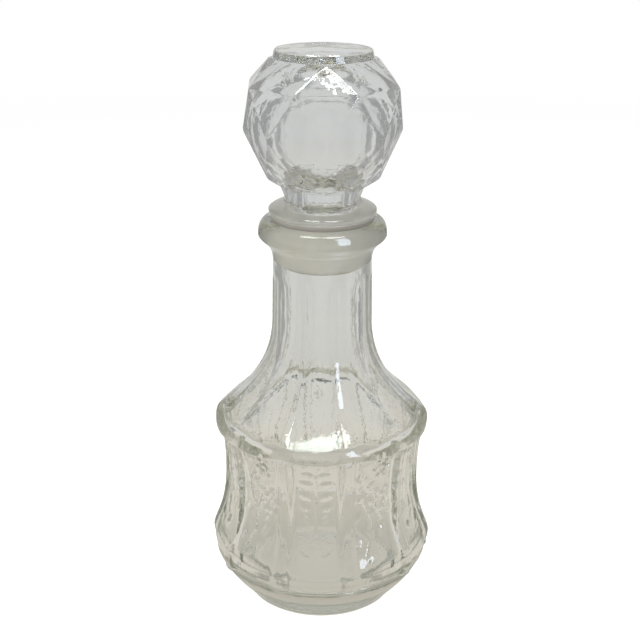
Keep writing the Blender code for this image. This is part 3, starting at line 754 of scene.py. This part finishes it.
def makeSleeve():
    size = sleeveShape
    # the soft flange is pressed a hair into both glasses, and the plug into the bore, so no air shows between
    under = bottleHigh.z - size["press"] - size["seat"]
    top = headShape["seat"] + size["press"] - size["seat"]
    cup, cupFloor = size["cupRadius"], size["cupFloor"] - size["plugLength"]
    rim, soft = size["flangeRadius"], size["round"]
    face = rim - soft
    out, back = (share * soft for share in size["roundShares"])
    profile = [(0.0, cupFloor), (cup, cupFloor), (cup, top), (face, top)]
    profile += curvePoints((face, top), (face + out, top), (rim, top - back), (rim, top - soft), 4)
    profile += curvePoints((rim, under + soft), (rim, under + back), (face + out, under), (face, under), 4)
    plug = size["plugRadius"]
    profile += [(plug, under)]
    for drop in size["seals"]:
        for share in size["sealSteps"]:
            reach = plug + (size["boreFit"] - plug) * (1 - share * share)
            profile.append((reach, share * size["sealHalf"] - drop))
    bottom, bend = -size["plugLength"], size["endRound"] / 2
    end = (plug, size["endRound"] - size["plugLength"])
    profile += [end]
    profile += curvePoints(end, (plug, end[1] - bend), (plug - bend, bottom),
                           (plug - size["endRound"], bottom), 8)
    profile += [(0.0, bottom)]
    sleeve = turnedPiece("plasticSleeve", profile, size["steps"])
    sleeve.data.transform(Matrix.Translation((0.0, 0.0, size["seat"])))
    finishPiece(sleeve, "sleeve", "stopper_sleeve", sleevePlastic)


makeSleeve()


# studio: white floor and surroundings, with darker zones to the sides that the glass edges pick up

studio = {
    "zoneDepth": 0.52, "zoneEdge": (-0.1, 0.7), "skyReach": (0.4, 0.8), "floorReach": (0.12, 0.30),
    "backdrop": (0.71, 0.72, 0.72, 1.0), "white": (1.0, 1.0, 1.0, 1.0), "ambient": 0.55,
    "floorRadius": 6.0, "floorSides": 96, "floorColour": (0.97, 0.97, 0.97, 1.0), "lift": 0.12,
    "whiteReach": (0.5, 1.2), "paperNear": (0.76, 0.72, 0.64, 1.0), "paperFar": (0.71, 0.71, 0.69, 1.0),
    # shade and shadeReach paint a shadow near the object on the floor that the glass shows
    "paperReach": (0.06, 0.26), "shade": 0.81, "shadeReach": (0.03, 0.10),
}


def makeZoneGroup():
    # brightness round the object: white towards the four sides, darker between them
    tree, given, result = openTree("sideZones", "ShaderNodeTree", {
        "Vector": "Vector", "Depth": "Float", "Reach From": "Float", "Reach To": "Float", ">Level": "Float"})
    spot = split(tree, given["Vector"])
    twist = times(tree, calc(tree, "ARCTAN2", spot["Y"], spot["X"]), 4.0)
    zone = ease(tree, times(tree, calc(tree, "COSINE", twist), -1.0), *studio["zoneEdge"])
    away = ease(tree, axisDistance(tree, spot), given["Reach From"], given["Reach To"])
    shade = times(tree, times(tree, zone, away), given["Depth"])
    tree.links.new(calc(tree, "SUBTRACT", 1.0, shade), result["Level"])
    return tree


zoneGroup = makeZoneGroup()


def zoneLevel(tree, vector, reach):
    return addNode(tree, "ShaderNodeGroup", {
        "Vector": vector, "Depth": studio["zoneDepth"], "Reach From": reach[0], "Reach To": reach[1]},
        node_tree=zoneGroup).outputs[0]


def byRay(tree, lighting, inGlass, direct):
    # one shader lights the object, one is what the glass shows, and one is what the camera sees
    path = addNode(tree, "ShaderNodeLightPath").outputs
    throughGlass = calc(tree, "MAXIMUM", path["Is Glossy Ray"], path["Is Transmission Ray"])
    unseen = mixShaders(tree, throughGlass, lighting, inGlass)
    return mixShaders(tree, path["Is Camera Ray"], unseen, direct)


def makeWorld():
    world = bpy.data.worlds.new("studioWorld")
    bpy.context.scene.world = world
    world.use_nodes = True
    tree = world.node_tree
    tree.nodes.clear()
    level = zoneLevel(tree, addNode(tree, "ShaderNodeTexCoord").outputs["Generated"], studio["skyReach"])
    ambient = addNode(tree, "ShaderNodeBackground", {"Color": studio["white"], "Strength": studio["ambient"]})
    seen = addNode(tree, "ShaderNodeBackground", {"Color": studio["backdrop"], "Strength": level})
    white = addNode(tree, "ShaderNodeBackground", {"Color": studio["white"], "Strength": 1.0})
    shown = byRay(tree, ambient.outputs[0], seen.outputs[0], white.outputs[0])
    addNode(tree, "ShaderNodeOutputWorld", {0: shown})


def makeFloor():
    mesh = bmesh.new()
    bmesh.ops.create_circle(mesh, cap_ends=True, radius=studio["floorRadius"], segments=studio["floorSides"])
    floor = newPiece("floor", plainMesh("floor", mesh))
    material, tree = newMaterial("paleFloor")
    tree.nodes.clear()
    where = addNode(tree, "ShaderNodeTexCoord").outputs["Object"]
    distance = addNode(tree, "ShaderNodeVectorMath", {0: where}, operation="LENGTH").outputs["Value"]
    # plain paper near the object, which turns to pure white further out
    paper = addNode(tree, "ShaderNodeBsdfDiffuse", {"Color": studio["floorColour"]})
    lift = addNode(tree, "ShaderNodeEmission", {"Color": studio["white"], "Strength": studio["lift"]})
    lit = addNode(tree, "ShaderNodeAddShader", {0: paper.outputs[0], 1: lift.outputs[0]})
    white = addNode(tree, "ShaderNodeEmission", {"Color": studio["white"], "Strength": 1.0})
    shown = mixShaders(tree, ease(tree, distance, *studio["whiteReach"]), lit.outputs[0], white.outputs[0])
    # the floor as it shows in the glass, with a painted shadow near the object
    tone = blend(tree, ease(tree, distance, *studio["paperReach"]), studio["paperNear"], studio["paperFar"])
    level = times(tree, zoneLevel(tree, where, studio["floorReach"]),
                  ease(tree, distance, *studio["shadeReach"], studio["shade"], 1.0))
    seen = addNode(tree, "ShaderNodeEmission", {"Color": tone, "Strength": level})
    addNode(tree, "ShaderNodeOutputMaterial", {0: byRay(tree, paper.outputs[0], seen.outputs[0], shown)})
    floor.data.materials.append(material)


# a light shines on the object, and a glint only shows in the glass
lamps = {
    "frontPanel": {"use": "light", "place": (-0.30, -0.95, 0.80), "size": (0.60, 0.60), "power": 9.0,
                   "colour": (1.0, 0.99, 0.97)},
    "topPanel": {"use": "light", "place": (0.10, 0.20, 1.05), "size": (0.60, 0.60), "power": 8.0,
                 "colour": (1.0, 1.0, 1.0)},
    "leftPane": {"use": "glint", "place": (-0.25, -0.258, 1.089), "size": (0.42, 0.35), "power": 6.0,
                 "colour": (0.86, 1.0, 0.94)},
    "rightPane": {"use": "glint", "place": (0.23, -0.256, 1.089), "size": (0.42, 0.35), "power": 6.0,
                  "colour": (1.0, 1.0, 1.0)},
    "sideGlint": {"use": "glint", "place": (0.52, -0.66, 0.52), "size": (0.30, 0.76), "power": 8.0,
                  "colour": (0.74, 0.85, 1.0)},
}
lampAim = Vector((0, 0, 0.1))


def makeLamps():
    for name, size in lamps.items():
        lamp = bpy.data.lights.new(name, "AREA")
        lamp.shape = "RECTANGLE"
        lamp.size, lamp.size_y = size["size"]
        lamp.energy = size["power"]
        lamp.color = size["colour"]
        holder = newPiece(name, lamp)
        holder.visible_transmission = False
        holder.visible_glossy = size["use"] == "glint"
        holder.visible_diffuse = size["use"] == "light"
        holder.location = size["place"]
        holder.rotation_euler = (lampAim - holder.location).to_track_quat("-Z", "Y").to_euler()


makeWorld()
makeFloor()
makeLamps()
print("studio ready")


# angles are in degrees, the sensor in millimetres, and focal, width and shift in pixels of the picture
cameraSetup = {"place": (0.0, -0.4007, 0.2652), "pitch": 21.13, "roll": 0.34, "sensor": 36, "focal": 1150,
               "width": 640, "shift": -2, "clipStart": 0.01}


def makeCamera():
    size = cameraSetup
    data = bpy.data.cameras.new("camera")
    data.sensor_width = size["sensor"]
    data.lens = size["sensor"] * size["focal"] / size["width"]
    data.shift_x = size["shift"] / size["width"]
    data.clip_start = size["clipStart"]
    camera = newPiece("camera", data)
    pitch = Matrix.Rotation(radians(90 - size["pitch"]), 4, "X")
    roll = Matrix.Rotation(radians(size["roll"]), 4, "Z")
    camera.matrix_world = Matrix.Translation(size["place"]) @ (pitch @ roll)
    bpy.context.scene.camera = camera


makeCamera()
bpy.context.scene.view_settings.view_transform = "Standard"

# light runs round inside thick glass many times before it leaves
lightPaths = {"max_bounces": 32, "glossy_bounces": 32, "transmission_bounces": 32,
              "transparent_max_bounces": 24}
for name, count in lightPaths.items():
    setattr(bpy.context.scene.cycles, name, count)
